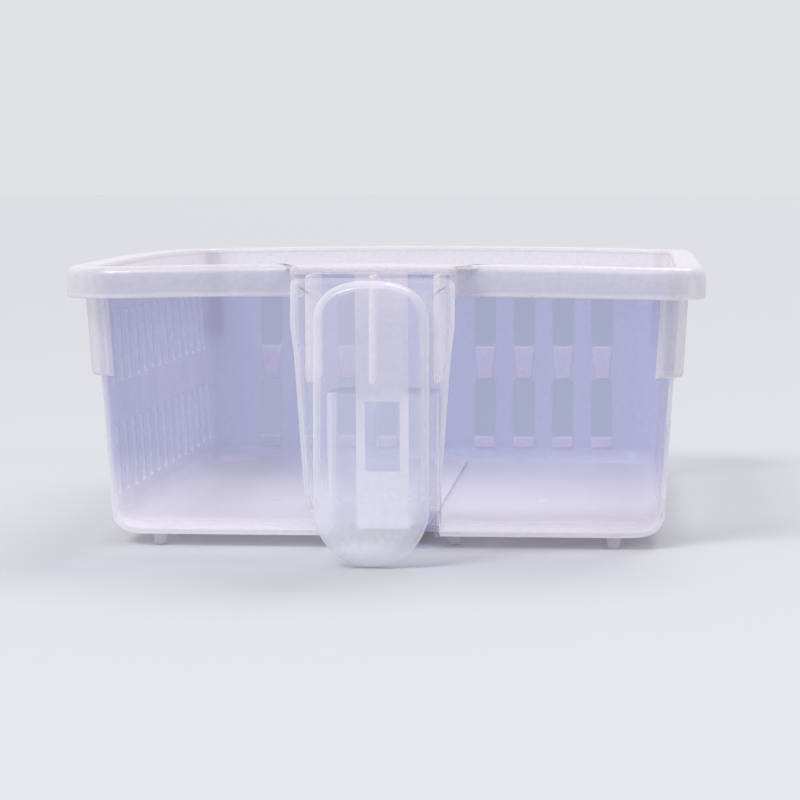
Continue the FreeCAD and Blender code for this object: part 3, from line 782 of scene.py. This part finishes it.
def nosePanel():
    # front of the nose round the grip, as one strip with its outer edge turned back
    top = rim["noseLow"] - 0.03
    bend, hide = panel["corner"], panel["hide"]
    opening = [(-x, z) for x, z in capsule(hide)]
    archPart, sidePart = opening[:15], opening[15:20]

    def halfAt(z):
        t = min(1.0, max(0.0, (skirtBottom - z) / (skirtBottom - panel["bottom"])))
        return panel["halfTop"] - (panel["halfTop"] - panel["halfLow"]) * t
    stations = []
    outer = [((x, top), (0, 1)) for x in np.linspace(0, panel["halfTop"] - bend, 9)]
    outer += [((panel["halfTop"] - bend + bend * math.cos(a), top - bend + bend * math.sin(a)),
               (math.cos(a), math.sin(a))) for a in arc(90, 0, 3)[1:]]
    outer += [((panel["halfTop"], z), (1, 0)) for z in (101.0, 96.5, archPart[-1][1])]
    for inner, (place, away) in zip(archPart, outer):
        stations.append((inner, place, away))
    for x, z in sidePart:
        if z > panel["bottom"] + 8:
            stations.append(((x, z), (halfAt(z), z), (1, 0)))
    low, inside = panel["bottom"], grip["half"] - hide
    stations.append(((inside, low + 4.4), (halfAt(low), low), (1, -1)))      # mitred lower corner
    stations.append(((inside, low + 4.2), (inside + 0.1, low), (0, -1)))
    mirrored = [((-i[0], i[1]), (-o[0], o[1]), (-n[0], n[1])) for i, o, n in stations[:0:-1]]
    stations = mirrored + stations
    front, back = noseFace + 0.02, noseFace + panel["wall"]
    # third number of each point: milky white along the panel's rounded edge and lip, partly a painted
    # highlight
    turned = [(0.0, back, 0.2), (0.0, front, 0.2)]
    section = [(bend + 0.8, front, 0.0)]
    section += [(bend * (1 - math.sin(a)), front + bend * (1 - math.cos(a)), 0.5 * math.sin(a))
                for a in arc(0, 90, 5)]
    section += [(0.0, noseFace + panel["lip"] - 0.5, 0.9), (0.5, noseFace + panel["lip"], 1.0),
                (panel["wall"] - 0.5, noseFace + panel["lip"], 1.0),
                (panel["wall"], noseFace + panel["lip"] - 0.5, 0.9)]
    small = bend - panel["wall"]
    section += [(panel["wall"] + small * (1 - math.cos(a)), noseFace + bend - small * math.sin(a), 0.3)
                for a in arc(0, 90, 3)]
    section += [(bend + 0.8, back, 0.0)]
    verts, milkAndHighlight = [], []
    for inner, place, away in stations:
        spare = math.dist(inner, place) / math.hypot(*away) - 0.3
        turnedBack = 1 - max(0.0, away[1])               # no lip along the top, where the cap sits
        for depth, y, amount in turned:
            verts.append((inner[0], y, inner[1]))
            milkAndHighlight.append(amount)
        for depth, y, amount in section:
            depth = min(depth, spare)
            y = min(y, back) + max(0.0, y - back) * turnedBack
            verts.append((place[0] - depth * away[0], y, place[1] - depth * away[1]))
            milkAndHighlight.append(amount * (0.1 + 0.75 * turnedBack))
    size = len(turned) + len(section)
    faces = []
    for k in range(len(stations) - 1):
        for i in range(size):
            j = (i + 1) % size
            faces.append([k * size + i, k * size + j, (k + 1) * size + j, (k + 1) * size + i])
    last = (len(stations) - 1) * size
    faces.append([i for i in range(size)][::-1])
    faces.append([last + i for i in range(size)])
    return addMesh("nosePanel", verts, faces, milkAndHighlight, 0.001)


panelPiece = nosePanel()
finish(panelPiece, milkyGrip, "handle_wing_left", "handle_wing_right", slot="handle")
print("nose panel", len(panelPiece.data.polygons), "faces")


# straight members: a copy of the CAD shape with its edges softened
def softened(name, node, radius, edgeAmount=0.35):
    piece = bpy.data.objects.new(name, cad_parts[node].data.copy())
    bpy.context.collection.objects.link(piece)
    work = bmesh.new()
    work.from_mesh(piece.data)
    bmesh.ops.remove_doubles(work, verts=work.verts, dist=0.01 * mm)
    bmesh.ops.dissolve_limit(work, angle_limit=math.radians(1), verts=work.verts, edges=work.edges)
    work.to_mesh(piece.data)
    work.free()
    bevel = piece.modifiers.new("bevel", "BEVEL")
    bevel.width = radius * mm
    bevel.segments = 3
    bevel.limit_method = "ANGLE"
    bevel.angle_limit = math.radians(35)
    lockModifiers(piece)
    piece.data.shade_smooth()
    piece.data.set_sharp_from_angle(angle=math.radians(35))
    attribute = piece.data.attributes.new("milkAndHighlight", "FLOAT", "POINT")
    attribute.data.foreach_set("value", [edgeAmount] * len(piece.data.vertices))
    return piece


members = {"fingerRecess": ("finger_recess", 0.35, 0.0, clearRecess, "tub"),
           "floorLand": ("floor_land", 0.3, 0.1, clearWall, "tub"),
           "spine": ("handle_spine", 0.4, 0.35, softRib, "tub"),
           "ribLeft": ("handle_rib_left", 0.5, 0.5, softRib, "tub"),
           "ribCentre": ("handle_rib_centre", 0.5, 0.6, softRib, "tub"),
           "ribRight": ("handle_rib_right", 0.5, 0.5, softRib, "tub")}
for name, (node, radius, amount, material, slotName) in members.items():
    finish(softened(name, node, radius, amount), material, node, slot=slotName)
print("members softened")


# corner pads
pad = {"thickness": 3.6, "bottom": 68.0, "reach": 6.0, "round": 1.4, "wrap": 57.0, "endRound": 1.0}


def cornerPad(name, kind, wallAngle):
    # thick band round a corner, from part way round it to a little along the side wall
    wrap = pad["wrap"]
    sweep = arc(wallAngle, wallAngle + (wrap if (kind - wallAngle) > 0 else -wrap), 10)
    columns = [((math.radians(kind), a), 0.0, 1.0) for a in sweep]
    along = -1 if sweep[1] > sweep[0] else 1
    columns = [((math.radians(kind), sweep[0]), along * pad["reach"], 0.15),
               ((math.radians(kind), sweep[0]), along * (pad["reach"] - pad["endRound"]), 1.0)] + columns
    ends = list(columns)
    ends[-1] = (columns[-1][0], 0.0, 0.15)
    ends.insert(-1, ((math.radians(kind), sweep[-1] * 0.94 + sweep[-2] * 0.06), 0.0, 0.6))
    top = flangeUnder - 0.05
    soft, deep, low = pad["round"], pad["thickness"], pad["bottom"]
    rings = [(0.02, top, 0.1), (deep, top, 0.1), (deep, low + soft + 2, 0.1), (deep, low + soft, 0.3)]
    rings += [(deep - soft * (1 - math.cos(a)), low + soft * (1 - math.sin(a)), 0.9)
              for a in arc(0, 90, 4)[1:]]
    rings += [(0.02, low, 0.6)]
    verts, milkAndHighlight = [], []
    for out, z, amount in rings:
        for (column, slide, share) in ends:
            x, y = tubPlan(column, z, -(0.02 + (out - 0.02) * share))
            a = column[1]
            verts.append((x - slide * math.sin(a), y + slide * math.cos(a), z))
            milkAndHighlight.append(max(amount, 0.6 if share < 1 else 0))
    count, total = len(ends), len(rings)
    faces = []
    for r in range(total):
        nextRing = (r + 1) % total
        for i in range(count - 1):
            faces.append([r * count + i, nextRing * count + i, nextRing * count + i + 1, r * count + i + 1])
    faces.append([r * count for r in range(total)])
    faces.append([r * count + count - 1 for r in range(total)][::-1])
    if along > 0:
        faces = [f[::-1] for f in faces]
    return addMesh(name, verts, faces, milkAndHighlight, 0.001)


for name, node, kind, wallAngle in (("padFrontRight", "stacking_pad_front_right", -45, 0),
                                    ("padRearRight", "stacking_pad_rear_right", 45, 0),
                                    ("padRearLeft", "stacking_pad_rear_left", 135, 180),
                                    ("padFrontLeft", "stacking_pad_front_left", 225, 180)):
    finish(cornerPad(name, kind, wallAngle), milkyRim, node, slot="tub")
print("corner pads")


# raised plates between the two rows of slots and under them
plate = {"proud": 0.8, "bevel": 0.35, "gap": 0.6, "taper": 0.62, "sill": 5.2, "sillGap": 0.3}


def plateShape(name, halfTop, halfLow, low, high):
    # softened plate in a plain frame: x along the wall, y into it, z up
    base, proud, bevel = tub["wall"] - 0.1, tub["wall"] + plate["proud"], plate["bevel"]
    verts, milkAndHighlight = [], []
    for y, shrink, amount in ((base, 0, 0.2), (proud - bevel, 0, 0.4),
                              (proud - bevel * 0.3, bevel * 0.3, 0.4),
                              (proud, bevel, 0.3), (proud, bevel + 0.7, 0.1)):
        verts += [(-halfLow + shrink, y, low + shrink), (halfLow - shrink, y, low + shrink),
                  (halfTop - shrink, y, high - shrink), (-halfTop + shrink, y, high - shrink)]
        milkAndHighlight += [amount] * 4
    faces = [[0, 1, 2, 3], [19, 18, 17, 16]]
    for r in range(4):
        for k in range(4):
            j = (k + 1) % 4
            faces.append([4 * r + k, 4 * r + 4 + k, 4 * r + 4 + j, 4 * r + j])
    return addMesh(name, [(x / mm, y / mm, z / mm) for x, y, z in verts], faces, milkAndHighlight, 0.5)


def plates(name, count, middle):
    # crossbar plates and sills on the back wall, as one mesh
    half = slots["width"] / 2 - plate["gap"] / 2
    verts, faces, milkAndHighlight = [], [], []
    for low, high, narrow in ((slots["low"][1] + 0.5, slots["high"][0] - 0.5, plate["taper"]),
                              (slots["low"][0] - plate["sill"], slots["low"][0] - plate["sillGap"], 1.0)):
        shape = plateShape("plate", half, half * narrow, low, high)
        row = repeated("plateRow", shape, softPlate, count, (slots["pitch"], 0, 0),
                       (-(count - 1) / 2 * slots["pitch"], 0, 0))
        base = len(verts)
        for v in row.data.vertices:
            u, depth, z = v.co
            verts.append((*tubPlan(("back", middle + u), z, depth), z))
        faces += [[base + i for i in list(p.vertices)[::-1]] for p in row.data.polygons]
        milkAndHighlight += [d.value for d in row.data.attributes["milkAndHighlight"].data]
        bpy.data.objects.remove(row)
    return addMesh(name, verts, faces, milkAndHighlight, 0.001)


backMiddle = slots["backFirst"] + (slots["backPerSide"] - 1) / 2 * slots["pitch"]
for name, middle in (("platesBackRight", backMiddle), ("platesBackLeft", -backMiddle)):
    finish(plates(name, slots["backPerSide"], middle), softPlate, slot="tub")
print("plates by the slots")


# feet and floor marks
feet = {"tip": 2.2, "top": 2.9, "tipRound": 0.7, "around": 24}


def turned(name, profile, around):
    # profile of (radius, height) turned round the upright axis, first and last on the axis
    verts, faces = [], []
    for radius, z in profile:
        for k in range(around):
            a = 2 * math.pi * k / around
            verts.append((radius * math.cos(a), radius * math.sin(a), z))
    for r in range(len(profile) - 1):
        for k in range(around):
            j = (k + 1) % around
            faces.append([r * around + k, r * around + j, (r + 1) * around + j, (r + 1) * around + k])
    return addMesh(name, verts, faces, [0.6] * len(verts), 0.01)




def middleOf(node):
    low, high = span(node)
    return (low[0] + high[0]) / 2, (low[1] + high[1]) / 2


tipRound = feet["tipRound"]
footProfile = [(0.0, 0.0), (feet["tip"] - tipRound, 0.0)]
footProfile += [(feet["tip"] - tipRound + tipRound * math.sin(a), tipRound * (1 - math.cos(a)))
                for a in arc(0, 80, 4)[1:]]
footProfile += [(feet["top"] - 0.1, tubBottom - 0.6), (feet["top"] + 0.5, tubBottom + 0.02),
                (0.0, tubBottom + 0.02)]
rows = {"feetOuter": ("foot_front_left", "foot_front_right", "foot_rear_left", "foot_rear_right"),
        "feetMiddle": ("foot_front_middle", "foot_rear_middle")}
for name, footNodes in rows.items():
    places = [middleOf(n) for n in footNodes]
    (x, y), across, back = places[0], places[len(places) // 2 - 1], places[-1]
    foot = turned(name + "Peg", footProfile, feet["around"])
    row = repeated(name, foot, milkyRim, len(places) // 2, ((across[0] - x) * mm, 0, 0),
                   (x * mm, y * mm, 0), 2, (0, (back[1] - y) * mm, 0))
    row.data.shade_smooth()
    finish(row, milkyRim, *footNodes, slot="feet")

mark = {"radius": 3.0, "height": 0.5, "x": 58.6, "y": rimFront + 140.0}
markTop = tubBottom + tub["filletOuter"] - tub["filletInner"]
markProfile = [(0.0, markTop - 0.02), (mark["radius"], markTop - 0.02),
               (mark["radius"] - 0.15, markTop + 0.35),
               (mark["radius"] - 0.5, markTop + mark["height"]), (1.6, markTop + mark["height"]),
               (1.2, markTop + 0.15), (0.0, markTop + 0.12)]
disc = turned("gateMark", markProfile, 32)
marks = repeated("gateMarks", disc, clearWall, 2, (2 * mark["x"] * mm, 0, 0),
                 (-mark["x"] * mm, mark["y"] * mm, 0))
marks.data.shade_smooth()
finish(marks, clearWall)
print("feet and marks")


# floor, lights, camera
studio = {"floorRadius": 40.0, "floorSides": 96, "floorColour": (0.405, 0.41, 0.43),
          "backdrop": (0.75, 0.757, 0.775), "air": (0.97, 0.975, 1.0), "airStrength": 0.85}


def studioFloor():
    radius, around = studio["floorRadius"] / mm, studio["floorSides"]
    verts = [(0, 0, 0)] + [(radius * math.cos(a), radius * math.sin(a), 0) for a in arc(0, 360, around)[:-1]]
    faces = [[0, 1 + k, 1 + (k + 1) % around] for k in range(around)]
    floor = addMesh("studioFloor", verts, faces)
    paint = bpy.data.materials.new("paleFloor")
    paint.use_nodes = True
    shader = paint.node_tree.nodes["Principled BSDF"]
    shader.inputs["Roughness"].default_value = 0.9
    shader.inputs["Base Color"].default_value = (*studio["floorColour"], 1)
    floor.data.materials.append(paint)


studioFloor()
world = bpy.data.worlds.new("studioAir")
bpy.context.scene.world = world
world.use_nodes = True
air = world.node_tree.nodes["Background"]
air.inputs["Color"].default_value = (*studio["air"], 1)
air.inputs["Strength"].default_value = studio["airStrength"]
seen = world.node_tree.nodes.new("ShaderNodeBackground")
seen.inputs["Color"].default_value = (*studio["backdrop"], 1)
path = world.node_tree.nodes.new("ShaderNodeLightPath")
choose = world.node_tree.nodes.new("ShaderNodeMixShader")
world.node_tree.links.new(path.outputs["Is Camera Ray"], choose.inputs[0])
world.node_tree.links.new(air.outputs[0], choose.inputs[1])
world.node_tree.links.new(seen.outputs[0], choose.inputs[2])
world.node_tree.links.new(choose.outputs[0], world.node_tree.nodes["World Output"].inputs["Surface"])


def placeLamp(name, kind, place, target, power):
    # a lamp of one kind, aimed from its place at its target
    light = bpy.data.lights.new(name, kind)
    light.energy = power
    lamp = bpy.data.objects.new(name, light)
    lamp.location = place
    aim = [t - p for t, p in zip(target, place)]
    lamp.rotation_euler = (math.atan2(math.hypot(aim[0], aim[1]), -aim[2]), 0,
                           math.atan2(aim[1], aim[0]) - math.pi / 2)
    bpy.context.collection.objects.link(lamp)
    return lamp


suns = {"keySun": ((-0.5, -0.8, 1.0), 2.0, 22.0), "backSun": ((0.3, 0.8, 1.0), 1.5, 30.0)}
for name, (place, power, spread) in suns.items():
    placeLamp(name, "SUN", place, (0.0, 0.0, 0.0), power).data.angle = math.radians(spread)

boxes = {"leftBox": ((-1.1, -0.9, 0.9), 0.7, 4.5), "rightBox": ((1.2, -0.6, 0.8), 0.6, 3.5),
         "frontBox": ((0.15, -1.7, 0.1), 0.5, 4.2)}
for name, (place, size, power) in boxes.items():
    lamp = placeLamp(name, "AREA", place, (0.0, 0.0, 0.05), power)
    lamp.data.shape = "DISK"
    lamp.data.size = size
    lamp.visible_glossy = False

view = {"lens": 130.35, "place": (0.09665, -1.25452, 0.14261), "down": 0.07405, "turn": 0.07999}
lens = bpy.data.cameras.new("camera")
lens.lens = view["lens"]
lens.sensor_width = 36.0
lens.clip_start = 0.01
camera = bpy.data.objects.new("camera", lens)
camera.location = view["place"]
camera.rotation_euler = (math.pi / 2 - view["down"], 0, view["turn"])
bpy.context.collection.objects.link(camera)
scene = bpy.context.scene
scene.camera = camera
scene.cycles.transparent_max_bounces = 48
scene.view_settings.view_transform = "Standard"
print("studio ready")
